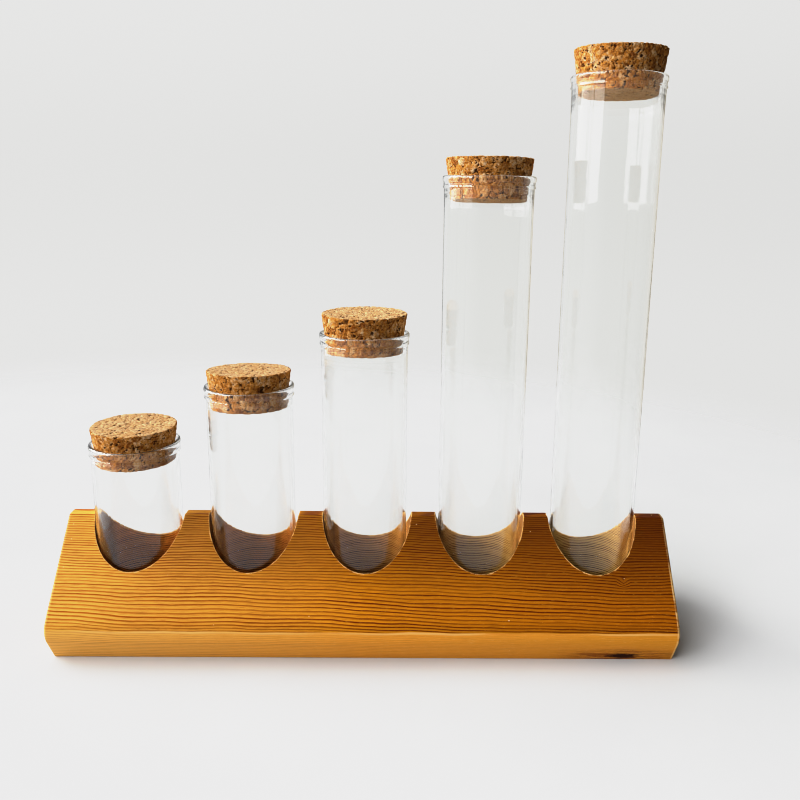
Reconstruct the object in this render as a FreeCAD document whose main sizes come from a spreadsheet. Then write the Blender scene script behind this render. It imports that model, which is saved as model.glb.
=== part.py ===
import FreeCAD, Part

import os
import Sketcher

# A wooden stand block with a row of blind bores. Each bore holds a loose flat-bottomed glass tube,
# and a tapered cork stopper closes each tube. Millimetres, +Z up, +X along the row from the
# shortest tube to the longest. The origin is at the middle of the block's underside.

TUBE_COUNT = 5

# Driving dimensions: (alias, value in mm, what it measures)
DRIVING_DIMENSIONS = [
    ("block_length", 215.0, "length of the block along the row"),
    ("block_height", 44.0, "base to top ridge"),
    ("base_width", 46.4, "width of the underside"),
    ("flank_width", 60.8, "width where the planes of the sides and the lower flanks would meet"),
    ("flank_height", 12.6, "height above the base where they would meet"),
    ("flank_round", 7.0, "round that joins each side to its lower flank"),
    ("ridge_width", 4.0, "width of the narrow flat top"),
    ("edge_round", 0.8, "sanded round on the block's other outer edges"),
    ("bore_diameter", 32.2, "bore for a tube, a loose fit"),
    ("bore_pitch", 40.8, "bore to bore along the row"),
    ("bore_floor", 11.0, "wood left under each bore"),
    ("row_shift", -0.5, "middle of the row from the middle of the block"),
    ("tube_diameter", 30.0, "outside of the glass"),
    ("tube_wall", 1.0, "glass wall"),
    ("tube_base", 1.6, "glass base, thicker than the wall"),
    ("heel_round", 2.4, "outer round between the base and the wall"),
    ("inner_heel_round", 1.6, "inner round between the base and the wall"),
    ("lip_diameter", 31.2, "outside of the rolled lip"),
    ("lip_height", 4.2, "height of the lip band"),
    ("lip_slope", 0.8, "height over which the lip meets the wall"),
    ("lip_round", 0.45, "fire-polished round at the mouth"),
    ("cork_height", 13.3, "length of each stopper"),
    ("cork_taper", 0.145, "radius gained per millimetre of stopper"),
    ("cork_edge_round", 0.5, "worn round at the stopper's ends"),
    ("seat_gap", 0.1, "radial gap between stopper and mouth"),
    # one row per tube, shortest first
    ("tube_length_1", 60.0, "overall length of tube 1"),
    ("tube_length_2", 81.0, "overall length of tube 2"),
    ("tube_length_3", 100.0, "overall length of tube 3"),
    ("tube_length_4", 153.0, "overall length of tube 4"),
    ("tube_length_5", 185.0, "overall length of tube 5"),
    ("tube_rest_1", -0.8, "where tube 1 stands in its loose bore, along the row"),
    ("tube_rest_2", -0.4, "where tube 2 stands in its loose bore"),
    ("tube_rest_3", -0.8, "where tube 3 stands in its loose bore"),
    ("tube_rest_4", 0.0, "where tube 4 stands in its loose bore"),
    ("tube_rest_5", 0.3, "where tube 5 stands in its loose bore"),
    ("cork_above_1", 6.0, "how far stopper 1 stands above the mouth"),
    ("cork_above_2", 5.4, "how far stopper 2 stands above the mouth"),
    ("cork_above_3", 6.9, "how far stopper 3 stands above the mouth"),
    ("cork_above_4", 5.9, "how far stopper 4 stands above the mouth"),
    ("cork_above_5", 8.4, "how far stopper 5 stands above the mouth"),
    ("cork_tilt_1", 0.7, "how crooked stopper 1 is, in degrees: its back stands higher"),
    ("cork_tilt_2", -3.0, "how crooked stopper 2 is: its front stands higher"),
    ("cork_tilt_3", 0.3, "how crooked stopper 3 is"),
    ("cork_tilt_4", -1.0, "how crooked stopper 4 is"),
    ("cork_tilt_5", 1.0, "how crooked stopper 5 is"),
]

HORIZONTAL_AXIS = -1
VERTICAL_AXIS = -2
ORIGIN_POINT = (-1, 1)


def make_sheet(doc):
    """Put the driving dimensions in a spreadsheet, one per row, with an alias each."""
    sheet = doc.addObject("Spreadsheet::Sheet", "Sizes")
    for row, (alias, value, meaning) in enumerate(DRIVING_DIMENSIONS, start=1):
        sheet.set(f"A{row}", meaning)
        sheet.set(f"B{row}", str(value))
        sheet.setAlias(f"B{row}", alias)
    doc.recompute()
    return sheet


def origin_feature(body, role):
    """One of the body's own origin planes or axes."""
    for feature in body.Origin.OriginFeatures:
        if feature.Role == role:
            return feature
    raise ValueError(f"{body.Name} has no {role}")


def new_body(doc, label):
    body = doc.addObject("PartDesign::Body", label)
    body.Label = label
    return body


def new_sketch(body, name, plane_role):
    sketch = body.newObject("Sketcher::SketchObject", name)
    sketch.AttachmentSupport = [(origin_feature(body, plane_role), "")]
    sketch.MapMode = "FlatFace"
    return sketch


def fix_coordinate(sketch, kind, point, value, expression, name):
    """Hold one coordinate of a sketch point at an expression, measured from the sketch origin."""
    if expression == "0":
        axis = VERTICAL_AXIS if kind == "DistanceX" else HORIZONTAL_AXIS
        sketch.addConstraint(Sketcher.Constraint("PointOnObject", *point, axis))
        return
    ends = (*ORIGIN_POINT, *point) if value > 0 else (*point, *ORIGIN_POINT)
    index = sketch.addConstraint(Sketcher.Constraint(kind, *ends, abs(value)))
    sketch.renameConstraint(index, name)
    sketch.setExpression(f"Constraints.{name}", expression if value > 0 else f"-({expression})")


def draw_outline(sketch, sheet, outline):
    """Draw a closed outline whose corners (across, up) are expressions on the sheet's aliases."""
    corners = []
    for across, up in outline:
        corners.append(FreeCAD.Vector(evaluate(sheet, across), evaluate(sheet, up), 0))
    count = len(corners)
    for index in range(count):
        sketch.addGeometry(Part.LineSegment(corners[index], corners[(index + 1) % count]), False)
    for index in range(count):
        sketch.addConstraint(Sketcher.Constraint("Coincident", index, 2, (index + 1) % count, 1))
    for index, (across, up) in enumerate(outline):
        point = (index, 1)
        fix_coordinate(sketch, "DistanceX", point, corners[index].x, across, f"across_{index}")
        fix_coordinate(sketch, "DistanceY", point, corners[index].y, up, f"up_{index}")


def evaluate(sheet, expression):
    """The number that an expression on the sheet's aliases has now."""
    return float(sheet.evalExpression(expression.replace("Sizes.", "")))


def edges_at(shape, radius, height):
    """Names of the circular edges about Z with this radius at this height."""
    tolerance = 1e-4
    names = []
    for index, edge in enumerate(shape.Edges, start=1):
        if not isinstance(edge.Curve, Part.Circle):
            continue
        right_radius = abs(edge.Curve.Radius - radius) < tolerance
        right_height = abs(edge.Curve.Center.z - height) < tolerance
        if right_radius and right_height:
            names.append(f"Edge{index}")
    return names


def edges_along_row(shape, height):
    """Names of the straight edges at this height that run along X."""
    tolerance = 1e-4
    names = []
    for index, edge in enumerate(shape.Edges, start=1):
        ends = [vertex.Point for vertex in edge.Vertexes]
        if all(abs(end.z - height) < tolerance for end in ends):
            if abs(ends[0].y - ends[-1].y) < tolerance:
                names.append(f"Edge{index}")
    return names


def round_edges(doc, body, base, sheet, name, radius_expression, rings):
    """Fillet the rings, each an (edge radius, height) pair of expressions, on the feature base."""
    doc.recompute()
    names = []
    for radius, height in rings:
        names += edges_at(base.Shape, evaluate(sheet, radius), evaluate(sheet, height))
    if not names:
        raise ValueError(f"{body.Label}: {name} found no edge")
    fillet = body.newObject("PartDesign::Fillet", name)
    fillet.Base = (base, names)
    fillet.setExpression("Radius", radius_expression)
    body.Tip = fillet
    return fillet


def revolve(doc, body, sketch, name):
    """Turn a sketch on the XZ plane a full turn about the body's Z axis."""
    revolution = body.newObject("PartDesign::Revolution", name)
    revolution.Profile = sketch
    revolution.ReferenceAxis = (origin_feature(body, "Z_Axis"), [""])
    revolution.Angle = 360.0
    body.Tip = revolution
    doc.recompute()
    return revolution


def make_stand_block(doc, sheet):
    """A bar with sloping sides, padded along X, and a row of bores that break out of its sides."""
    body = new_body(doc, "stand_block")
    profile = new_sketch(body, "BlockProfile", "YZ_Plane")
    draw_outline(profile, sheet, [
        ("-Sizes.base_width / 2", "0"),
        ("Sizes.base_width / 2", "0"),
        ("Sizes.flank_width / 2", "Sizes.flank_height"),
        ("Sizes.ridge_width / 2", "Sizes.block_height"),
        ("-Sizes.ridge_width / 2", "Sizes.block_height"),
        ("-Sizes.flank_width / 2", "Sizes.flank_height"),
    ])
    bar = body.newObject("PartDesign::Pad", "Bar")
    bar.Profile = profile
    bar.SideType = "Symmetric"
    bar.setExpression("Length", "Sizes.block_length")
    doc.recompute()

    flanks = body.newObject("PartDesign::Fillet", "RoundedFlanks")
    flank_edges = edges_along_row(bar.Shape, evaluate(sheet, "Sizes.flank_height"))
    flanks.Base = (bar, flank_edges)
    flanks.setExpression("Radius", "Sizes.flank_round")
    body.Tip = flanks
    doc.recompute()

    rounded = body.newObject("PartDesign::Fillet", "SandedEdges")
    rounded.Base = (flanks, [""])
    rounded.UseAllEdges = True
    rounded.setExpression("Radius", "Sizes.edge_round")
    body.Tip = rounded
    doc.recompute()
    volume_before_bores = body.Shape.Volume

    mouth = new_sketch(body, "FirstBoreCircle", "XY_Plane")
    mouth.setExpression("AttachmentOffset.Base.z", "Sizes.bore_floor")
    first_x = f"Sizes.row_shift - {TUBE_COUNT // 2} * Sizes.bore_pitch"
    centre = FreeCAD.Vector(evaluate(sheet, first_x), 0, 0)
    bore_radius = evaluate(sheet, "Sizes.bore_diameter / 2")
    mouth.addGeometry(Part.Circle(centre, FreeCAD.Vector(0, 0, 1), bore_radius), False)
    centre_point = (0, 3)
    fix_coordinate(mouth, "DistanceX", centre_point, centre.x, first_x, "first_bore_x")
    fix_coordinate(mouth, "DistanceY", centre_point, 0.0, "0", "first_bore_y")
    index = mouth.addConstraint(Sketcher.Constraint("Diameter", 0, 2 * bore_radius))
    mouth.renameConstraint(index, "bore_diameter")
    mouth.setExpression("Constraints.bore_diameter", "Sizes.bore_diameter")
    doc.recompute()

    bore = body.newObject("PartDesign::Pocket", "Bore")
    bore.Profile = mouth
    bore.Type = "Length"
    bore.setExpression("Length", "Sizes.block_height")
    bore.Reversed = True
    body.Tip = bore
    doc.recompute()
    one_bore = volume_before_bores - body.Shape.Volume

    row = body.newObject("PartDesign::LinearPattern", "BoreRow")
    row.Originals = [bore]
    row.Direction = (origin_feature(body, "X_Axis"), [""])
    row.Occurrences = TUBE_COUNT
    row.setExpression("Length", f"{TUBE_COUNT - 1} * Sizes.bore_pitch")
    body.Tip = row
    doc.recompute()
    all_bores = volume_before_bores - body.Shape.Volume
    if one_bore <= 0 or abs(all_bores - TUBE_COUNT * one_bore) > 1.0:
        raise ValueError(f"bores cut {all_bores:.0f} mm3, and one cuts {one_bore:.0f} mm3")
    return body


def place_in_row(body, number, height_expression):
    """Stand a body on the axis of its tube's place in the row."""
    steps = number - (TUBE_COUNT + 1) // 2
    along = f"Sizes.row_shift + {steps} * Sizes.bore_pitch + Sizes.tube_rest_{number}"
    body.setExpression("Placement.Base.x", along)
    body.setExpression("Placement.Base.z", height_expression)


def make_glass_tube(doc, sheet, number):
    """A flat-bottomed tube with a rolled lip, turned about Z, standing on its bore's floor."""
    body = new_body(doc, f"glass_tube_{number}")
    length = f"Sizes.tube_length_{number}"
    outer = "Sizes.tube_diameter / 2"
    inner = "Sizes.tube_diameter / 2 - Sizes.tube_wall"
    lip = "Sizes.lip_diameter / 2"
    lip_foot = f"{length} - Sizes.lip_height"
    lip_shoulder = f"{length} - Sizes.lip_height + Sizes.lip_slope"
    half_section = new_sketch(body, f"TubeSection{number}", "XZ_Plane")
    draw_outline(half_section, sheet, [
        ("0", "0"),
        (outer, "0"),
        (outer, lip_foot),
        (lip, lip_shoulder),
        (lip, length),
        (inner, length),
        (inner, "Sizes.tube_base"),
        ("0", "Sizes.tube_base"),
    ])
    feature = revolve(doc, body, half_section, f"TubeWall{number}")
    feature = round_edges(doc, body, feature, sheet, f"Heel{number}", "Sizes.heel_round",
                          [(outer, "0")])
    feature = round_edges(doc, body, feature, sheet, f"InnerHeel{number}",
                          "Sizes.inner_heel_round", [(inner, "Sizes.tube_base")])
    feature = round_edges(doc, body, feature, sheet, f"Mouth{number}", "Sizes.lip_round",
                          [(lip, length), (inner, length)])
    round_edges(doc, body, feature, sheet, f"LipFoot{number}", "Sizes.lip_slope",
                [(outer, lip_foot), (lip, lip_shoulder)])
    place_in_row(body, number, "Sizes.bore_floor")
    return body


def make_cork_stopper(doc, sheet, number):
    """A tapered stopper, drawn about the middle of its tube's mouth, which its side just clears.

    It is a little crooked. A tapered stopper that is turned by an angle about the mouth meets the
    mouth off centre, so it is shifted back by as much, and the gap stays even all round.
    """
    body = new_body(doc, f"cork_stopper_{number}")
    above = f"Sizes.cork_above_{number}"
    tilt = f"Sizes.cork_tilt_{number}"
    at_mouth = "Sizes.tube_diameter / 2 - Sizes.tube_wall - Sizes.seat_gap"
    bottom = f"{above} - Sizes.cork_height"
    top_radius = f"{at_mouth} + {above} * Sizes.cork_taper"
    bottom_radius = f"{at_mouth} + ({bottom}) * Sizes.cork_taper"
    half_section = new_sketch(body, f"CorkSection{number}", "XZ_Plane")
    draw_outline(half_section, sheet, [
        ("0", bottom),
        (bottom_radius, bottom),
        (top_radius, above),
        ("0", above),
    ])
    feature = revolve(doc, body, half_section, f"CorkBody{number}")
    round_edges(doc, body, feature, sheet, f"WornEdges{number}", "Sizes.cork_edge_round",
                [(bottom_radius, bottom), (top_radius, above)])
    about_row = FreeCAD.Rotation(FreeCAD.Vector(1, 0, 0), evaluate(sheet, tilt))
    body.Placement = FreeCAD.Placement(FreeCAD.Vector(0, 0, 0), about_row)
    body.setExpression("Placement.Rotation.Angle", f"{tilt} * 1 deg")
    body.setExpression("Placement.Base.y", f"({at_mouth}) * tan({tilt}) * Sizes.cork_taper")
    place_in_row(body, number, f"Sizes.bore_floor + Sizes.tube_length_{number}")
    return body


def check_and_export(doc, bodies):
    """Write one STEP file per piece, once every object is sound."""
    doc.recompute()
    for thing in doc.Objects:
        bad = [state for state in thing.State if state in ("Invalid", "Error")]
        if bad:
            raise ValueError(f"{thing.Label} is {bad}")
    for body in bodies:
        if body.Shape.isNull() or not body.Shape.isValid() or len(body.Shape.Solids) != 1:
            raise ValueError(f"{body.Label} isn't one valid solid")
    os.makedirs("parts", exist_ok=True)
    for body in bodies:
        body.Shape.exportStep(f"parts/{body.Label}.step")
        box = body.Shape.BoundBox
        print(f"{body.Label}: {body.Shape.Volume:.0f} mm3, x {box.XMin:.2f} to {box.XMax:.2f},"
              f" y {box.YMin:.2f} to {box.YMax:.2f}, z {box.ZMin:.2f} to {box.ZMax:.2f}")


def main():
    doc = FreeCAD.newDocument("TestTubeStand")
    sheet = make_sheet(doc)
    bodies = [make_stand_block(doc, sheet)]
    for number in range(1, TUBE_COUNT + 1):
        bodies.append(make_glass_tube(doc, sheet, number))
    for number in range(1, TUBE_COUNT + 1):
        bodies.append(make_cork_stopper(doc, sheet, number))
    check_and_export(doc, bodies)


main()
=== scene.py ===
"""Looks for a wooden stand with a row of corked glass tubes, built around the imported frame."""

import math

import bmesh
import bpy
from mathutils import Euler, Matrix, Vector, noise

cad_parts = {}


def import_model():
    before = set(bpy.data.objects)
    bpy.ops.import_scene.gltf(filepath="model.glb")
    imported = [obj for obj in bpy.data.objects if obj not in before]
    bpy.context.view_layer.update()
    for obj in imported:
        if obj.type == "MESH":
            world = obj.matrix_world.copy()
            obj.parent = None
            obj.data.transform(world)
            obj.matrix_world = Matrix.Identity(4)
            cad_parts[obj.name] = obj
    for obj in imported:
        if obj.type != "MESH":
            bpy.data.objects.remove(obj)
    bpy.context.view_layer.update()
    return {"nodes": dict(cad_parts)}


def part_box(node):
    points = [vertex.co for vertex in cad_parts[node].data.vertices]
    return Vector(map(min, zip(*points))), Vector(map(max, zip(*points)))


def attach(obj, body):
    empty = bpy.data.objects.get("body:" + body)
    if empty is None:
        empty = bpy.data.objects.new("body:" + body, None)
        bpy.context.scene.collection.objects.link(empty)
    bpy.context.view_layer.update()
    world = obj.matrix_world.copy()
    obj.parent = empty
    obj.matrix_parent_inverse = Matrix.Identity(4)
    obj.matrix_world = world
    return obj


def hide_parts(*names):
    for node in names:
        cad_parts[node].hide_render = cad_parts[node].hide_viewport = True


MM = 0.001
TUBES = range(1, 6)
BLOCK = "stand_block"

# ---------------------------------------------------------------- helpers for meshes


def new_piece(name, mesh):
    piece = bpy.data.objects.new(name, mesh)
    bpy.context.scene.collection.objects.link(piece)
    return piece


def smooth(mesh):
    mesh.polygons.foreach_set("use_smooth", [True] * len(mesh.polygons))
    mesh.update()


def shade_by_angle(mesh, degrees):
    """Smooth shading that stops at edges sharper than this."""
    smooth(mesh)
    mesh.set_sharp_from_angle(angle=math.radians(degrees))


def apply_modifiers(piece):
    """Put what a piece's modifiers make into its own mesh."""
    bpy.context.view_layer.update()
    evaluated = piece.evaluated_get(bpy.context.evaluated_depsgraph_get())
    mesh = bpy.data.meshes.new_from_object(evaluated)
    piece.modifiers.clear()
    piece.data = mesh
    mesh.name = piece.name
    return mesh


def middle(node):
    low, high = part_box(node)
    return (low + high) / 2


# ---------------------------------------------------------------- helpers for materials


class Graph:
    """Builds the node tree of a material or a world. A socket argument is linked, and any other
    value is set."""

    def __init__(self, owner):
        self.owner = owner
        owner.use_nodes = True
        self.tree = owner.node_tree
        self.tree.nodes.clear()

    def add(self, kind, inputs=None, **settings):
        node = self.tree.nodes.new(kind)
        for key, value in settings.items():
            setattr(node, key, value)
        for key, value in (inputs or {}).items():
            self.feed(node.inputs[key], value)
        return node

    def feed(self, socket, value):
        if isinstance(value, bpy.types.NodeSocket):
            self.tree.links.new(value, socket)
        else:
            socket.default_value = value

    def math(self, operation, first, second=0.0, third=0.0):
        inputs = {0: first, 1: second, 2: third}
        return self.add("ShaderNodeMath", inputs, operation=operation).outputs[0]

    def times(self, first, *others):
        for other in others:
            first = self.math("MULTIPLY", first, other)
        return first

    def ramp(self, value, low, high, to_low=0.0, to_high=1.0, kind="SMOOTHSTEP"):
        """value from low..high brought to to_low..to_high, and held at the ends."""
        inputs = {"Value": value, "From Min": low, "From Max": high,
                  "To Min": to_low, "To Max": to_high}
        node = self.add("ShaderNodeMapRange", inputs, interpolation_type=kind, clamp=True)
        return node.outputs["Result"]

    def mix(self, factor, first, second, blend="MIX"):
        node = self.add("ShaderNodeMix", data_type="RGBA", blend_type=blend)
        self.feed(node.inputs["Factor"], factor)
        self.feed(node.inputs[6], first)
        self.feed(node.inputs[7], second)
        return node.outputs[2]

    def cover(self, under, value, low, high, most, colour):
        """Lay a colour over another, from none where value is low to most where it is high."""
        return self.mix(self.ramp(value, low, high, 0.0, most), under, colour)

    def noise(self, vector, scale, detail=3.0, roughness=0.5):
        inputs = {"Vector": vector, "Scale": scale, "Detail": detail, "Roughness": roughness}
        return self.add("ShaderNodeTexNoise", inputs).outputs["Fac"]

    def position_mm(self):
        """Where the shaded point is in the piece's own frame, in millimetres."""
        return self.stretch(self.add("ShaderNodeTexCoord").outputs["Object"], 1000, 1000, 1000)

    def stretch(self, vector, x, y, z):
        inputs = {0: vector, 1: (x, y, z)}
        return self.add("ShaderNodeVectorMath", inputs, operation="MULTIPLY").outputs[0]

    def drawn_noise(self, vector, x, y, z, detail=3.0, roughness=0.5):
        """Noise that is drawn out along the axes with the smaller factors."""
        return self.noise(self.stretch(vector, x, y, z), 1.0, detail, roughness)

    def length(self, vector):
        inputs = {0: vector}
        return self.add("ShaderNodeVectorMath", inputs, operation="LENGTH").outputs["Value"]

    def parts(self, vector):
        node = self.add("ShaderNodeSeparateXYZ", {"Vector": vector})
        return node.outputs["X"], node.outputs["Y"], node.outputs["Z"]

    def random(self, number):
        """The same random value, 0 to 1, wherever number is the same."""
        node = self.add("ShaderNodeTexWhiteNoise", {"W": number}, noise_dimensions="1D")
        return node.outputs["Value"]

    def attribute(self, name):
        return self.add("ShaderNodeAttribute", attribute_name=name).outputs["Fac"]

    def bump(self, height, strength, distance):
        inputs = {"Height": height, "Strength": strength, "Distance": distance}
        return self.add("ShaderNodeBump", inputs).outputs["Normal"]

    def finish(self, shader, output="ShaderNodeOutputMaterial"):
        self.add(output, {"Surface": shader})
        return self.owner


def material_graph(name):
    return Graph(bpy.data.materials.new(name))


# ---------------------------------------------------------------- wood

FIRST_RING = 200.0            # mm from the tree's heart to the block's foot
RING_CENTRE = (12.0, -FIRST_RING)  # mm, y and z of the tree's heart, far under the block
RINGS_PER_MM = 0.80           # at the foot of the block
RING_CROWDING = 0.0105        # how much closer the rings are for each mm outwards
SLOW_WAVE, QUICK_WAVE = 4.0, 0.9  # mm, how far the rings bend
RING_SLANT = 0.016            # mm that a ring drops for each mm along the block
KNOT = (89.0, -24.4, 2.3)     # mm, a small knot that shows at the foot of the front flank
DIP = (89.9, 26.4)            # mm, x and z of a dip in the grain above the knot
FIGURE_LINE = 13.2            # mm, the height at which the strong figure of the sides ends
BORE_EDGE = 30.0              # degrees, how sharp an edge of the bores is
EDGE_BREAK = 0.20 * MM        # how far the rims of the bores are bevelled
TEAR = 0.38                   # mm, how far a rim's points move where it is torn

# Each set of three runs along the block: left end, middle, right end.
# The paler, yellower left end is partly the wood's own colour and partly a painted sheen, the
# window's reflection on the slopes.
EARLYWOOD = [(0.820, 0.425, 0.080, 1), (0.565, 0.232, 0.006, 1), (0.350, 0.118, 0.002, 1)]
LATEWOOD = [(0.400, 0.108, 0.005, 1), (0.140, 0.019, 0.0005, 1), (0.066, 0.0065, 0.0004, 1)]
PLAIN_FLANK = [(0.830, 0.465, 0.120, 1), (0.780, 0.360, 0.055, 1), (0.680, 0.305, 0.033, 1)]


class Wood(Graph):
    """Straight-grained old softwood, golden at one end and red-brown at the other. Its rings run
    through the whole block, so every cut shows the same tree. Lengths are in millimetres."""

    def __init__(self, low, high, block):
        super().__init__(bpy.data.materials.new("old_softwood"))
        self.block = block
        self.place = self.position_mm()
        self.x, self.y, self.z = self.parts(self.place)
        self.depth = self.math("ABSOLUTE", self.y)
        self.along = self.ramp(self.x, low.x / MM, high.x / MM, kind="LINEAR")
        self.from_end = self.math("SUBTRACT", high.x / MM, self.math("ABSOLUTE", self.x))
        self.quick = self.grain(0.055, 0.06, 0.12, 2.0)
        self.patch = self.grain(0.022, 0.09, 0.09, 2.0)
        self.fibre = self.grain(0.22, 3.4, 3.4, 4.0, 0.65)
        self.pale = self.grain(0.45, 2.6, 2.6, 4.0, 0.70)
        self.ragged = self.grain(0.35, 0.35, 0.35, 4.0, 0.65)
        self.knot_far = self.distance_to_knot()
        self.late, self.chance = self.ring_lines(self.ring_radius())
        self.below, self.wavering, self.flank = self.lower_flank()
        self.late = self.times(self.late, self.faintness())

    def grain(self, *how):
        return self.drawn_noise(self.place, *how)

    def along_block(self, colours):
        left, centre, right = colours
        colour = self.mix(self.ramp(self.along, 0.0, 0.5, kind="LINEAR"), left, centre)
        return self.mix(self.ramp(self.along, 0.5, 1.0, kind="LINEAR"), colour, right)

    def distance_to_knot(self):
        """About 1 at the knot's edge, and uneven."""
        offset = self.add("ShaderNodeVectorMath", {0: self.place, 1: KNOT}, operation="SUBTRACT")
        far = self.length(self.stretch(offset.outputs[0], 0.15, 0.3, 0.55))
        uneven = self.grain(0.35, 0.7, 2.0, 4.0, 0.6)
        return self.math("MULTIPLY_ADD", uneven, 1.5, self.math("SUBTRACT", far, 0.75))

    def ring_radius(self):
        """Distance from the tree's heart, bent by slow and quick waves, and by the knot."""
        across = self.math("SUBTRACT", self.y, RING_CENTRE[0])
        up = self.math("SUBTRACT", self.z, RING_CENTRE[1])
        squares = self.math("ADD", self.times(across, across), self.times(up, up))
        radius = self.math("SQRT", squares)
        slow = self.grain(0.010, 0.03, 0.03, 2.0)
        radius = self.math("MULTIPLY_ADD", slow, SLOW_WAVE, radius)
        radius = self.math("MULTIPLY_ADD", self.quick, QUICK_WAVE, radius)
        radius = self.math("MULTIPLY_ADD", self.x, RING_SLANT, radius)
        # the grain dips above the knot and parts round it
        side = self.math("ABSOLUTE", self.math("SUBTRACT", self.x, DIP[0]))
        away = self.math("ABSOLUTE", self.math("SUBTRACT", self.z, DIP[1]))
        dip = self.times(self.ramp(side, 2.4, 0.0, 0.0, 0.9, "LINEAR"),
                         self.ramp(away, 1.8, 0.2))
        radius = self.math("MULTIPLY_ADD", dip, self.ramp(self.y, -8.0, -12.0), radius)
        return self.math("SUBTRACT", radius, self.ramp(self.knot_far, 2.6, 0.6, 0.0, 1.8))

    def ring_lines(self, radius):
        """Each ring is pale earlywood that darkens slowly into a thin dark line, and then stops
        short. Gives how dark the line is, and the ring's own random value."""
        outward = self.math("SUBTRACT", radius, FIRST_RING)
        rings = self.math("MULTIPLY_ADD", outward, RING_CROWDING, RINGS_PER_MM)
        rings = self.times(rings, outward)
        number = self.math("FLOOR", rings)
        phase = self.math("FRACT", rings)
        chance = self.random(number)
        other = self.random(self.math("ADD", number, 57.3))
        start = self.math("MULTIPLY_ADD", chance, 0.24, 0.30)
        late = self.times(self.ramp(phase, start, 0.76), self.ramp(phase, 1.0, 0.88),
                          self.math("MULTIPLY_ADD", other, 0.5, 0.65),
                          self.ramp(self.patch, 0.3, 0.7, 0.75, 1.1))
        return late, chance

    def lower_flank(self):
        """Where the plain lower flank is: below the figure line, on the front and the back."""
        wavering = self.math("MULTIPLY_ADD", self.quick, 0.9,
                             self.math("SUBTRACT", self.z, 0.45))
        below = self.times(self.ramp(self.depth, 20.0, 22.0), self.ramp(self.from_end, 0.05, 0.30))
        flank = self.times(below, self.ramp(wavering, FIGURE_LINE + 0.2, FIGURE_LINE - 0.2))
        return below, wavering, flank

    def faintness(self):
        """The ring lines are faint on the lower flank, except round the knot."""
        faint = self.math("MAXIMUM", self.ramp(self.along, 0.0, 0.8, 0.50, 0.12),
                          self.ramp(self.knot_far, 3.2, 1.2, 0.0, 0.8))
        return self.math("SUBTRACT", 1.0,
                         self.times(self.flank, self.math("SUBTRACT", 1.0, faint)))

    def sides(self):
        """The slopes: rings, fibres, broad cloudy patches, and painted shade that darkens the top,
        where the tubes and corks to the left shade it.
        """
        colour = self.mix(self.late, self.along_block(EARLYWOOD), self.along_block(LATEWOOD))
        colour = self.cover(colour, self.fibre, 0.46, 0.68, 0.34, (0.140, 0.038, 0.002, 1))
        colour = self.cover(colour, self.pale, 0.54, 0.74, 0.34, (0.660, 0.340, 0.040, 1))
        cloud = self.grain(0.02, 0.05, 0.05, 2.0)
        colour = self.cover(colour, cloud, 0.4, 0.75, 0.18, (0.250, 0.080, 0.004, 1))
        # painted shade: the tops of the slopes are darkened as the tubes and corks to their left
        # shade them; least at the left end, where no tube stands to the left, and most towards the
        # right
        painted_top_shade = self.times(self.ramp(self.z, 17.0, 42.0, 0.0, 0.80),
                          self.times(self.ramp(self.x, -92.0, -66.0, 0.15, 1.0),
                                     self.ramp(self.x, -20.0, 30.0, 0.62, 1.0)))
        painted_light = self.mix(0.28, colour, (0.080, 0.014, 0.001, 1), blend="MULTIPLY")
        colour = self.mix(painted_top_shade, colour, painted_light)
        return self.mix(self.times(painted_top_shade, 0.80), colour, (0.053, 0.0070, 0.0007, 1))

    def plain_flank(self, colour):
        """The lower flank is tan and nearly plain, with a painted highlight along its top, where
        its edge catches the light.
        """
        tan = self.mix(self.late, self.along_block(PLAIN_FLANK), (0.300, 0.100, 0.015, 1))
        tan = self.cover(tan, self.fibre, 0.44, 0.70, 0.20, (0.400, 0.160, 0.020, 1))
        tan = self.cover(tan, self.pale, 0.52, 0.76, 0.24, (0.880, 0.560, 0.190, 1))
        colour = self.mix(self.flank, colour, tan)
        # painted highlight: a pale, uneven line just under the figure line
        line = self.times(self.ramp(self.wavering, FIGURE_LINE, FIGURE_LINE - 0.25, 0.0, 0.45),
                          self.ramp(self.wavering, FIGURE_LINE - 1.0, FIGURE_LINE - 0.6))
        painted_flank_highlight = self.times(line, self.times(self.below, self.ramp(self.patch, 0.35, 0.60)))
        return self.mix(painted_flank_highlight, colour, (0.900, 0.600, 0.250, 1))

    def end_grain(self, colour):
        """The sawn ends are brown, even and full of small pores."""
        end = self.mix(self.along, (0.400, 0.185, 0.052, 1), (0.360, 0.150, 0.032, 1))
        end = self.mix(self.late, end, (0.130, 0.044, 0.008, 1))
        pores = self.grain(1.0, 3.6, 3.6, 4.0, 0.65)
        end = self.cover(end, pores, 0.50, 0.66, 0.75, (0.090, 0.028, 0.005, 1))
        sawn = self.grain(1.0, 0.05, 1.1, 3.0, 0.6)
        end = self.cover(end, sawn, 0.45, 0.70, 0.40, (0.520, 0.290, 0.110, 1))
        return self.cover(colour, self.from_end, 0.35, 0.02, 1.0, end)

    def knot(self, colour):
        """The knot and its dark flow lines."""
        streak = self.grain(0.07, 1.2, 3.2, 4.0, 0.65)
        flow = self.times(self.ramp(self.knot_far, 4.4, 0.8), self.ramp(streak, 0.46, 0.52),
                          self.ramp(self.z, 7.4, 3.2), 0.92)
        colour = self.mix(flow, colour, (0.220, 0.045, 0.004, 1))
        return self.cover(colour, self.knot_far, 1.05, 0.50, 1.0, (0.040, 0.009, 0.002, 1))

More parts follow.
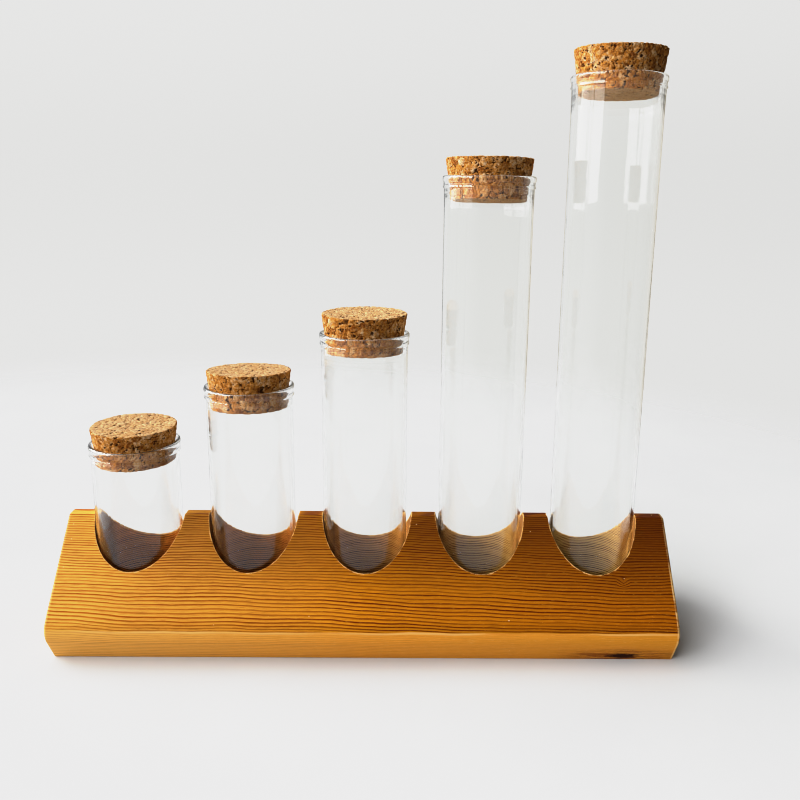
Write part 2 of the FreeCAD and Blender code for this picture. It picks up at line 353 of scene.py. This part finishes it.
    def specks(self, colour):
        """A few pale specks, none of them on the knot."""
        cells = self.add("ShaderNodeTexVoronoi",
                         {"Vector": self.stretch(self.place, 0.22, 0.3, 0.3), "Scale": 1.0})
        lucky = self.parts(cells.outputs["Color"])[0]
        uneven = self.math("MULTIPLY_ADD", self.fibre, 0.16, cells.outputs["Distance"])
        speck = self.times(self.ramp(uneven, 0.14, 0.09), self.ramp(lucky, 0.72, 0.78),
                           self.ramp(self.knot_far, 1.2, 2.2), 0.7)
        return self.mix(speck, colour, (0.90, 0.70, 0.40, 1))

    def bores(self, colour):
        """Bare wood on the walls of the bores, with painted shade on their sides in the gaps
        beside the glass, and torn fibres along their rims.
        """
        block = self.block
        reach = 2.49 * block["pitch"]  # no bore stands beyond the row's two ends
        row = self.math("SUBTRACT", self.x, block["middle"])
        row = self.math("MINIMUM", self.math("MAXIMUM", row, -reach), reach)
        row = self.math("WRAP", row, block["pitch"] / 2, -block["pitch"] / 2)
        squares = self.math("ADD", self.times(row, row), self.times(self.y, self.y))
        from_rim = self.math("SUBTRACT", self.math("SQRT", squares), block["radius"])
        surface = self.math("MULTIPLY_ADD", self.depth, -block["slope"], block["crest"])
        surface = self.math("MINIMUM", surface, block["top"])
        under = self.math("SUBTRACT", surface, self.z)

        raw = self.mix(self.ramp(self.along, 0.25, 0.85), (0.450, 0.145, 0.024, 1),
                       (0.520, 0.310, 0.105, 1))
        line = self.times(self.ramp(self.late, 0.05, 0.50),
                          self.ramp(self.chance, 0.2, 0.7, 0.45, 1.0))
        raw = self.mix(line, raw, (0.065, 0.015, 0.002, 1))
        # painted shade: the sides of a bore, in the narrow gap beside the glass, are darkened
        raw = self.cover(raw, row, 13.6, 15.3, 0.88, (0.165, 0.062, 0.010, 1))
        raw = self.cover(raw, row, -12.8, -15.0, 0.70, (0.060, 0.022, 0.006, 1))
        colour = self.cover(colour, from_rim, 0.10, 0.02, 1.0, raw)

        width = self.ramp(self.ragged, 0.38, 0.70, 0.18, 0.52)
        torn = self.times(self.ramp(self.math("DIVIDE", from_rim, width), 1.0, 0.35),
                          self.ramp(under, 0.9, 0.3),
                          self.ramp(self.ragged, 0.38, 0.60, 0.20, 0.90))
        return self.mix(torn, colour, (0.72, 0.44, 0.16, 1))

    def highlit_end_edges(self, colour):
        """Painted highlight: the long faces are pale where they meet the ends, as the rounded
        edges catch the light, most of all low down.
        """
        painted_light = self.times(self.ramp(self.from_end, 0.02, 0.10),
                          self.ramp(self.from_end, 1.15, 0.75),
                          self.ramp(self.ragged, 0.40, 0.58, 0.15, 0.70),
                          self.ramp(self.z, 36.0, 22.0, 0.35, 1.0),
                          self.ramp(self.along, 0.2, 0.8, 0.30, 1.0))
        return self.mix(painted_light, colour, (0.86, 0.60, 0.27, 1))

    def make(self):
        """The finished material, its layers laid one over another."""
        colour = self.plain_flank(self.sides())
        colour = self.specks(self.knot(self.end_grain(colour)))
        colour = self.highlit_end_edges(self.bores(colour))
        height = self.math("MULTIPLY_ADD", self.fibre, -0.5, self.times(self.late, 0.6))
        normal = self.bump(height, 0.35, 0.00018)
        rough = self.math("MULTIPLY_ADD", self.late, -0.5, self.fibre)
        shader = self.add("ShaderNodeBsdfPrincipled",
                          {"Base Color": colour, "Normal": normal, "Specular IOR Level": 0.06,
                           "Roughness": self.ramp(rough, 0.0, 0.8, 0.42, 0.62)})
        return self.finish(shader.outputs[0])


def read_block(mesh):
    """The bores and the sloping sides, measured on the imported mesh, in millimetres."""
    points = [vertex.co / MM for vertex in mesh.vertices]
    # the lowest points inside the bores are the rings round their floors, one group for each
    inside = [p for p in points if 5.0 < p.z < 13.0 and abs(p.y) < 17.5 and abs(p.x) < 105.0]
    floor = min(point.z for point in inside)
    ring = sorted(point.x for point in inside if point.z < floor + 0.02)
    groups = [[ring[0]]]
    for value in ring[1:]:
        if value - groups[-1][-1] > 3.0:
            groups.append([])
        groups[-1].append(value)
    centres = [(group[0] + group[-1]) / 2 for group in groups]
    front = max((face for face in mesh.polygons if face.normal.y < -0.5 and face.normal.z > 0.5),
                key=lambda face: face.area)
    slope = -front.normal.y / front.normal.z
    return {"middle": centres[len(centres) // 2],
            "pitch": (centres[-1] - centres[0]) / (len(centres) - 1),
            "radius": (groups[0][-1] - groups[0][0]) / 2,
            "top": max(point.z for point in points),
            "slope": slope,
            "crest": front.center.z / MM - slope * front.center.y / MM}


def break_edge(verts, block):
    """Move the bevelled rim's points a little in the faces they lie on, as torn fibres do."""
    for vert in verts:
        point = vert.co / MM
        row = (point.x - block["middle"] + block["pitch"] / 2) % block["pitch"]
        row -= block["pitch"] / 2
        radial = Vector((row, point.y, 0.0))
        from_rim = radial.length - block["radius"]
        roughness = noise.noise(point * 0.8) + 0.6 * noise.noise(point * 2.3)
        move = max(0.0, roughness) * TEAR
        if from_rim > 0.2:
            step = radial.normalized() * move
            flat = abs(point.z - block["top"]) < 0.05
            drop = 0.0 if flat else -block["slope"] * step.y * (1 if point.y > 0 else -1)
            vert.co += Vector((step.x, step.y, drop)) * MM
        elif from_rim < 0.05:
            vert.co.z -= move * MM


def bore_rims(shape):
    """The sharp edges where the bores break out of the block's top and sides."""
    return [edge for edge in shape.edges
            if edge.is_manifold and edge.calc_face_angle() > math.radians(BORE_EDGE)
            and min(vert.co.z for vert in edge.verts) > 20 * MM]


def make_block(frame):
    """The block's own mesh with its bore edges broken and torn a little, as drilled wood is."""
    mesh = frame["nodes"][BLOCK].data.copy()
    if "custom_normal" in mesh.attributes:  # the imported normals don't fit an edited mesh
        mesh.attributes.remove(mesh.attributes["custom_normal"])
    shape = bmesh.new()
    shape.from_mesh(mesh)
    bmesh.ops.remove_doubles(shape, verts=shape.verts, dist=1e-6)
    bmesh.ops.dissolve_limit(shape, angle_limit=math.radians(0.5), verts=shape.verts,
                             edges=shape.edges, use_dissolve_boundaries=False, delimit=set())
    shape.to_mesh(mesh)
    block = read_block(mesh)
    long_rims = [edge for edge in bore_rims(shape) if edge.calc_length() > 0.9 * MM]
    bmesh.ops.subdivide_edges(shape, edges=long_rims, cuts=1)
    made = bmesh.ops.bevel(shape, geom=bore_rims(shape), offset=EDGE_BREAK, offset_type="OFFSET",
                           segments=2, profile=0.5, affect="EDGES", clamp_overlap=True)
    break_edge(made["verts"], block)
    shape.to_mesh(mesh)
    shape.free()
    piece = new_piece("wood_block", mesh)
    low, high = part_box(BLOCK)
    mesh.materials.clear()
    mesh.materials.append(Wood(low, high, block).make())
    shade_by_angle(mesh, 20.0)
    weighted = piece.modifiers.new("flat_faces_stay_flat", "WEIGHTED_NORMAL")
    weighted.keep_sharp = True
    apply_modifiers(piece)
    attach(piece, "stand")
    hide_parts(BLOCK)


# ---------------------------------------------------------------- glass

WALL = 1.0 * MM
BASE = 1.6 * MM
HEEL, INNER_HEEL = 2.4 * MM, 1.6 * MM  # the rounding at the foot, outside and inside
LIP_PROUD = 0.6 * MM
LIP_HEIGHT = 4.2 * MM
MOUTH_ROUND = 0.8 * MM         # the height of the mouth's rounding
INNER_STRAIGHT = 1.6 * MM      # how far below the mouth the straight inner wall begins
STRAIGHT = 24                  # steps along the straight wall
AROUND = 160                   # steps round the tube
WAVE = 0.0012                  # of the radius, how wavy the inner wall and the base are


def glass_material():
    """Clear soda glass with a faint green cast and a film on it. Lamp light goes straight
    through, less where the wall is seen edge on."""
    graph = material_graph("clear_glass_look")
    place = graph.position_mm()
    streak = graph.drawn_noise(place, 0.5, 0.5, 0.02)
    film = graph.drawn_noise(place, 0.08, 0.08, 0.05)
    glass = graph.add("ShaderNodeBsdfPrincipled",
                      {"Base Color": (0.990, 0.995, 0.985, 1), "IOR": 1.5,
                       "Roughness": graph.ramp(film, 0.35, 0.75, 0.0, 0.03),
                       "Transmission Weight": 1.0, "Normal": graph.bump(streak, 0.08, 0.0004)})
    edge_on = graph.add("ShaderNodeLayerWeight", {"Blend": 0.35}).outputs["Facing"]
    passing = graph.mix(graph.ramp(edge_on, 0.1, 0.9), (0.97, 0.975, 0.965, 1),
                        (0.72, 0.74, 0.72, 1))
    clear = graph.add("ShaderNodeBsdfTransparent", {"Color": passing})
    shadow = graph.add("ShaderNodeLightPath").outputs["Is Shadow Ray"]
    shader = graph.add("ShaderNodeMixShader",
                       {0: shadow, 1: glass.outputs[0], 2: clear.outputs[0]})
    return graph.finish(shader.outputs[0])


def arc(centre, radius, start, end, steps):
    """Points (r, z) on an arc, angles in degrees from the outward direction."""
    points = []
    for step in range(steps + 1):
        angle = math.radians(start + (end - start) * step / steps)
        points.append((centre[0] + radius * math.cos(angle), centre[1] + radius * math.sin(angle)))
    return points


def tube_outline(length, outer):
    """Half section of a flat-bottomed tube with a rolled lip, from the base's middle to the
    inner floor's middle."""
    inner = outer - WALL
    points = [(outer * 0.5, 0.0)]
    points += arc((outer - HEEL, HEEL), HEEL, -90, 0, 6)
    foot = length - LIP_HEIGHT
    for step in range(1, STRAIGHT):
        points.append((outer, HEEL + (foot - HEEL) * step / STRAIGHT))
    # a bead at the lip's foot, a shallow waist and a rounded mouth
    for step in range(13):
        share = step / 12
        bead = math.exp(-((share - 0.16) / 0.13) ** 2)
        rim = 1 / (1 + math.exp(-(share - 0.62) / 0.07))
        proud = LIP_PROUD * max(0.85 * bead, rim, 0.45 * min(1, share / 0.3))
        points.append((outer + proud, foot + (LIP_HEIGHT - MOUTH_ROUND) * share))
    half = (outer + LIP_PROUD - inner) / 2
    points += arc((inner + half, length - half * 0.9), half, 15, 165, 8)
    top = length - INNER_STRAIGHT
    for step in range(1, STRAIGHT):
        points.append((inner, top - (top - BASE - INNER_HEEL) * step / STRAIGHT))
    points += arc((inner - INNER_HEEL, BASE + INNER_HEEL), INNER_HEEL, 0, -90, 5)
    points.append((inner * 0.5, BASE))
    return points


def make_tube(number, material):
    """A glass tube on its own axis, turned from its half section, with faint vertical waves."""
    node = f"glass_tube_{number}"
    low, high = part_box(node)
    axis = middle(node)
    outer = (high.x - low.x) / 2 - LIP_PROUD
    shape = bmesh.new()
    rings = []
    for radius, height in tube_outline(high.z - low.z, outer):
        ring = []
        for step in range(AROUND):
            angle = 2 * math.pi * step / AROUND
            wave = noise.noise(Vector((math.cos(angle) * 3, math.sin(angle) * 3,
                                       height * 8 + number * 7)))
            waved = radius * (1 + WAVE * wave) if radius < outer - 0.2 * MM else radius
            ring.append(shape.verts.new((axis.x + waved * math.cos(angle),
                                         axis.y + waved * math.sin(angle), low.z + height)))
        rings.append(ring)
    for first, second in zip(rings, rings[1:]):
        for step in range(AROUND):
            after = (step + 1) % AROUND
            shape.faces.new((first[step], first[after], second[after], second[step]))
    shape.faces.new(reversed(rings[0]))
    shape.faces.new(rings[-1])
    mesh = bpy.data.meshes.new(f"glass_{number}")
    shape.to_mesh(mesh)
    shape.free()
    smooth(mesh)
    piece = new_piece(f"glass_{number}", mesh)
    mesh.materials.append(material)
    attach(piece, f"tube_{number}")
    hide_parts(node)


# ---------------------------------------------------------------- cork

CORK_MESH = 0.25 * MM
CORK_SEED = 1794875350  # noise_vector's offsets come from this, and without it from the clock
GRANULE = 2.3   # mm, the pressed cork granules
CRUMB = 0.80    # mm, the small crumbs and pores between them
CUT_FACE_TONE = 0.69  # the two cut ends are paler and more even than the pressed side


def cork_material():
    """Agglomerated cork: tan granules of many tones, dark pits, cracks and flecks, and painted
    shade on the part inside the glass.
    """
    graph = material_graph("agglomerated_cork")
    place = graph.position_mm()
    tone = graph.attribute("tone")
    fine = graph.noise(place, 1.3, 5.0, 0.7)
    colour = graph.mix(graph.ramp(tone, 0.0, 0.5), (0.210, 0.064, 0.008, 1),
                       (0.500, 0.222, 0.042, 1))
    colour = graph.cover(colour, tone, 0.4, 1.0, 1.0, (0.770, 0.585, 0.385, 1))
    colour = graph.cover(colour, fine, 0.46, 0.70, 0.5, (0.740, 0.480, 0.220, 1))
    bark = graph.drawn_noise(place, 0.9, 0.9, 1.5, 4.0, 0.65)
    colour = graph.cover(colour, bark, 0.56, 0.68, 0.65, (0.220, 0.072, 0.012, 1))
    colour = graph.mix(graph.times(graph.attribute("cut"), 0.36), colour,
                       (0.560, 0.435, 0.270, 1))
    fleck = graph.noise(graph.stretch(place, 1.0, 1.0, 1.9), 2.0, 4.0, 0.62)
    colour = graph.cover(colour, fleck, 0.57, 0.63, 0.9, (0.110, 0.034, 0.008, 1))
    chips = graph.add("ShaderNodeTexVoronoi",
                      {"Vector": graph.stretch(place, 0.75, 1.25, 1.1), "Scale": 1.0})
    lucky = graph.parts(chips.outputs["Color"])[0]
    uneven = graph.math("MULTIPLY_ADD", fine, 0.45, chips.outputs["Distance"])
    chip = graph.times(graph.ramp(uneven, 0.50, 0.40), graph.ramp(lucky, 0.60, 0.67), 0.9)
    colour = graph.mix(chip, colour, (0.060, 0.018, 0.004, 1))
    colour = graph.cover(colour, graph.attribute("pit"), 0.15, 0.70, 0.95,
                         (0.050, 0.016, 0.004, 1))
    # painted shade: the cork inside the glass is darkened
    colour = graph.mix(graph.attribute("in_glass_shade"), colour, (0.70, 0.64, 0.54, 1), blend="MULTIPLY")
    grit = graph.noise(place, 4.0, 3.0, 0.6)
    normal = graph.bump(graph.math("MULTIPLY_ADD", fine, 0.7, grit), 0.6, 0.0002)
    shader = graph.add("ShaderNodeBsdfPrincipled",
                       {"Base Color": colour, "Roughness": 0.86, "Normal": normal,
                        "Specular IOR Level": 0.04})
    return graph.finish(shader.outputs[0])


def fading(value, reach):
    """1 at 0, falling smoothly to 0 at reach."""
    share = min(1.0, max(0.0, value / reach))
    return 1 - share * share * (3 - 2 * share)


def granule(point, size, seed):
    """How far a point is from the edge of its cork granule, and the granule's own random value."""
    place = point / size + Vector((seed * 3.1, seed * 1.7, seed * 2.3))
    distances, centres = noise.voronoi(place)
    value = noise.cell(centres[0] * 37.7 + Vector((0.37, 0.61, 0.29)))
    return distances[1] - distances[0], abs(value)


def cork_grain(point, number):
    """How deep the surface is sunk at a point in mm, its tone and how dark a hole it is in."""
    bend = noise.noise_vector(point * 0.9) * 0.35 + noise.noise_vector(point * 2.6) * 0.16
    edge, value = granule(point + bend, GRANULE, number)
    # crumbs are long in a direction of their granule's own
    lean = noise.cell_vector(Vector((value * 911.0, value * 577.0, number))).normalized()
    squeezed = point + bend - lean * (0.6 * lean.dot(point + bend))
    crumb_edge, crumb_value = granule(squeezed, CRUMB, number + 9)
    open_seam = noise.noise(point * 0.55 + Vector((number, 0, 0)))
    crack = fading(edge, 0.11) * min(1.0, max(0.0, open_seam * 2.2 + 0.15))
    hole = 0.0
    if crumb_value > 0.88:
        hole = 1 - fading(crumb_edge, 0.48)
    depth = 0.20 * fading(edge, 0.36) + 0.16 * crack + 0.26 * hole
    depth += 0.05 * (1 + noise.noise(point * 0.8))
    tone = 0.50 * value + 0.35 * crumb_value + 0.25 * noise.noise(point * 1.3)
    return depth, min(1.0, max(0.0, tone - 0.3 * crack)), min(1.0, hole + 0.9 * crack)


def make_cork(number, frame, material):
    """The stopper's own shape in a fine mesh, with sunken pits and seams between granules."""
    node = f"cork_stopper_{number}"
    piece = new_piece(f"cork_{number}", frame["nodes"][node].data.copy())
    remesh = piece.modifiers.new("fine", "REMESH")
    remesh.mode = "VOXEL"
    remesh.voxel_size = CORK_MESH
    mesh = apply_modifiers(piece)
    # cut is 1 on the cut ends; the painted shade of the cork inside the glass is 0 above the
    # glass's mouth and 1 from 1 mm below it
    looks = {"tone": [], "pit": [], "cut": [], "in_glass_shade": []}
    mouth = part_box(f"glass_tube_{number}")[1].z
    normals = [vertex.normal.copy() for vertex in mesh.vertices]
    for vertex, normal in zip(mesh.vertices, normals):
        depth, tone, pit = cork_grain(vertex.co / MM, number)
        vertex.co -= normal * depth * MM
        cut = normal.z ** 4
        looks["tone"].append(tone + (CUT_FACE_TONE - tone) * 0.65 * cut)
        looks["pit"].append(pit)
        looks["cut"].append(cut)
        looks["in_glass_shade"].append(min(1.0, max(0.0, (mouth - vertex.co.z) / MM)))
    for name, values in looks.items():
        mesh.attributes.new(name, "FLOAT", "POINT").data.foreach_set("value", values)
    smooth(mesh)
    mesh.materials.clear()
    mesh.materials.append(material)
    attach(piece, f"stopper_{number}")
    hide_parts(node)


# ---------------------------------------------------------------- floor and backdrop

TABLE = 3.0                  # m, the side of the table top
FADE_SHIFT = (100.0, 0.0, 0.0)  # mm, so that the fade is measured from x = -100
TABLE_FADE = (310.0, 540.0)  # mm from there, where the table melts into the backdrop


def make_floor():
    """A pale table top that fades into the backdrop."""
    shape = bmesh.new()
    bmesh.ops.create_grid(shape, x_segments=8, y_segments=8, size=TABLE / 2)
    mesh = bpy.data.meshes.new("table_top")
    shape.to_mesh(mesh)
    shape.free()
    floor = new_piece("table_top", mesh)
    graph = material_graph("pale_table")
    place = graph.add("ShaderNodeVectorMath", {0: graph.position_mm(), 1: FADE_SHIFT},
                      operation="ADD").outputs[0]
    grain = graph.noise(place, 0.02)
    colour = graph.mix(graph.ramp(grain, 0.3, 0.7), (0.475, 0.479, 0.493, 1),
                       (0.491, 0.495, 0.507, 1))
    matte = graph.add("ShaderNodeBsdfDiffuse", {"Color": colour})
    clear = graph.add("ShaderNodeBsdfTransparent")
    shader = graph.add("ShaderNodeMixShader",
                       {0: graph.ramp(graph.length(place), *TABLE_FADE), 1: matte.outputs[0],
                        2: clear.outputs[0]})
    mesh.materials.append(graph.finish(shader.outputs[0]))
    return floor


def make_world():
    """A plain pale backdrop. What lights the scene is brighter to the left, behind and overhead,
    and a little in front. Reflections see a paler room behind the object."""
    graph = Graph(bpy.data.worlds.new("pale_room"))
    bpy.context.scene.world = graph.owner
    x, y, z = graph.parts(graph.add("ShaderNodeTexCoord").outputs["Generated"])
    strength = graph.ramp(x, -1.00, -0.25, 0.90, 0.04)
    strength = graph.math("ADD", strength, graph.ramp(y, 0.2, -0.9, 0.0, 0.09))
    strength = graph.math("ADD", strength, graph.ramp(y, 0.55, 0.95, 0.0, 0.65))
    overhead = graph.times(graph.ramp(z, 0.55, 0.98, 0.0, 3.5),
                           graph.ramp(x, 0.15, -0.35, 0.03, 1.0))
    strength = graph.math("ADD", strength, overhead)
    path = graph.add("ShaderNodeLightPath").outputs
    mirrored = graph.math("MAXIMUM", graph.ramp(z, -0.3, 0.1, 0.0, 0.26),
                          graph.ramp(y, 0.0, 0.55, 0.0, 0.62))
    strength = graph.math("MAXIMUM", strength, graph.times(path["Is Glossy Ray"], mirrored))
    tint = graph.mix(graph.ramp(x, -0.35, 0.30), (0.97, 0.985, 1.0, 1), (1.0, 0.89, 0.68, 1))
    room = graph.add("ShaderNodeBackground", {"Color": tint, "Strength": strength})
    # what the camera sees, directly or through glass, is one even pale tone
    upper = graph.ramp(z, 0.02, 0.22, 0.0, 0.055)
    lower = graph.ramp(z, 0.00, -0.16, 0.0, 0.030)
    pale = graph.math("ADD", graph.math("ADD", upper, lower),
                      graph.ramp(x, -0.45, 0.45, 0.84, 0.80))
    backdrop = graph.add("ShaderNodeBackground", {"Color": (1.0, 1.0, 0.985, 1),
                                                  "Strength": pale})
    seen = graph.math("MAXIMUM", path["Is Camera Ray"], path["Is Transmission Ray"])
    both = graph.add("ShaderNodeMixShader", {0: seen, 1: room.outputs[0], 2: backdrop.outputs[0]})
    graph.finish(both.outputs[0], "ShaderNodeOutputWorld")


# ---------------------------------------------------------------- lights

WINDOW_AWAY = 6.0               # m to the left of the object
WINDOW_ACROSS = -0.6            # m, the window's middle, from front to back
WINDOW_WIDTH = 9.6
WINDOW_SILL, WINDOW_RAIL, WINDOW_HEAD = 0.07, 1.38, 8.3
PANES = [(-0.50, -0.10), (-0.06, 0.04), (0.07, 0.50)]  # of the width, with bars between them
SKY, VIEW, GLARE = 7.2, 3.6, 9.0  # how bright the upper panes, the lower ones and the glare are
GLARE_NEARER = 0.05             # m, so that a pane doesn't hide its glare
FILL_PLACE = (-2.5, -3.2, 2.2)  # m
FILL_SIZE, FILL_POWER = 2.0, 176.0  # m and W


def pane(name, span, low, high, brightness, only_in_gloss=False):
    """One bright upright rectangle of the window to the left of the object, facing it."""
    width = (span[1] - span[0]) * WINDOW_WIDTH
    data = bpy.data.lights.new(name, "AREA")
    data.shape = "RECTANGLE"
    data.size, data.size_y = width, high - low
    data.energy = brightness * math.pi * width * (high - low)
    data.color = (1.0, 0.99, 0.97)
    light = bpy.data.objects.new(name, data)
    bpy.context.scene.collection.objects.link(light)
    across = WINDOW_ACROSS + (span[0] + span[1]) / 2 * WINDOW_WIDTH
    away = WINDOW_AWAY - (GLARE_NEARER if only_in_gloss else 0.0)
    light.location = (-away, across, (low + high) / 2)
    light.rotation_euler = Vector((1, 0, 0)).to_track_quat("-Z", "Y").to_euler()
    light.visible_camera = False
    light.visible_diffuse = not only_in_gloss


def make_lights(floor):
    for number, span in enumerate(PANES, 1):
        pane(f"window_sky_{number}", span, WINDOW_RAIL, WINDOW_HEAD, SKY)
        pane(f"window_view_{number}", span, WINDOW_SILL, WINDOW_RAIL, VIEW)
        pane(f"window_glare_{number}", span, WINDOW_RAIL, WINDOW_HEAD, GLARE, only_in_gloss=True)
    # soft light from the front, on the table alone, fills the foot of the block
    data = bpy.data.lights.new("table_fill", "AREA")
    data.shape, data.size, data.energy = "SQUARE", FILL_SIZE, FILL_POWER
    light = bpy.data.objects.new("table_fill", data)
    bpy.context.scene.collection.objects.link(light)
    light.location = FILL_PLACE
    light.rotation_euler = (-light.location).to_track_quat("-Z", "Y").to_euler()
    light.visible_glossy = light.visible_transmission = light.visible_camera = False
    table = bpy.data.collections.new("table_only")
    table.objects.link(floor)
    light.light_linking.receiver_collection = table


# ---------------------------------------------------------------- camera

CAMERA_PLACE = (0.01526, -0.2694, 0.15933)  # m
CAMERA_LENS = 35.54                         # mm, on a sensor 36 mm wide
CAMERA_DOWN, CAMERA_RIGHT, CAMERA_ROLL = 12.65, 0.97, 0.835  # degrees
CAMERA_SHIFT = (-0.0314, -0.0413)
CONTRAST = 0.80  # display gamma: under 1 gives the photograph's deeper darks
SHOULDER = [(0.0, 0.0), (0.30, 0.30), (0.60, 0.60), (0.80, 0.785), (0.95, 0.847), (1.15, 0.882),
            (1.70, 0.945), (2.40, 1.0)]  # light in and out: whites are held back, as a camera does


def make_camera():
    """The photograph's view: a phone held close, a little above and right of the middle."""
    data = bpy.data.cameras.new("camera")
    data.sensor_width = 36.0
    data.lens = CAMERA_LENS
    data.shift_x, data.shift_y = CAMERA_SHIFT
    data.clip_start = 0.01
    camera = bpy.data.objects.new("camera", data)
    bpy.context.scene.collection.objects.link(camera)
    aim = Euler((math.radians(90 - CAMERA_DOWN), 0.0, math.radians(-CAMERA_RIGHT))).to_matrix()
    roll = Matrix.Rotation(math.radians(CAMERA_ROLL), 3, "Z")
    camera.matrix_world = Matrix.Translation(CAMERA_PLACE) @ (aim @ roll).to_4x4()
    bpy.context.scene.camera = camera


def set_view():
    """The camera's response: deeper darks, and whites that flatten before they clip."""
    cycles = bpy.context.scene.cycles
    cycles.filter_width = 1.1
    cycles.sample_clamp_indirect = 3.0
    # light runs a long way inside the glass lips
    cycles.max_bounces = 20
    cycles.glossy_bounces = 14
    cycles.transmission_bounces = 16
    view = bpy.context.scene.view_settings
    view.view_transform = "Standard"
    view.gamma = CONTRAST
    view.use_curve_mapping = True
    curves = view.curve_mapping
    brightest = SHOULDER[-1][0]
    curves.white_level = (brightest, brightest, brightest)
    points = curves.curves[3].points
    for light, shown in SHOULDER[1:-1]:
        points.new(light / brightest, shown)
    curves.update()


def main():
    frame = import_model()
    noise.seed_set(CORK_SEED)
    set_view()
    make_block(frame)
    glass = glass_material()
    cork = cork_material()
    for number in TUBES:
        make_tube(number, glass)
        make_cork(number, frame, cork)
    floor = make_floor()
    make_world()
    make_lights(floor)
    make_camera()


main()
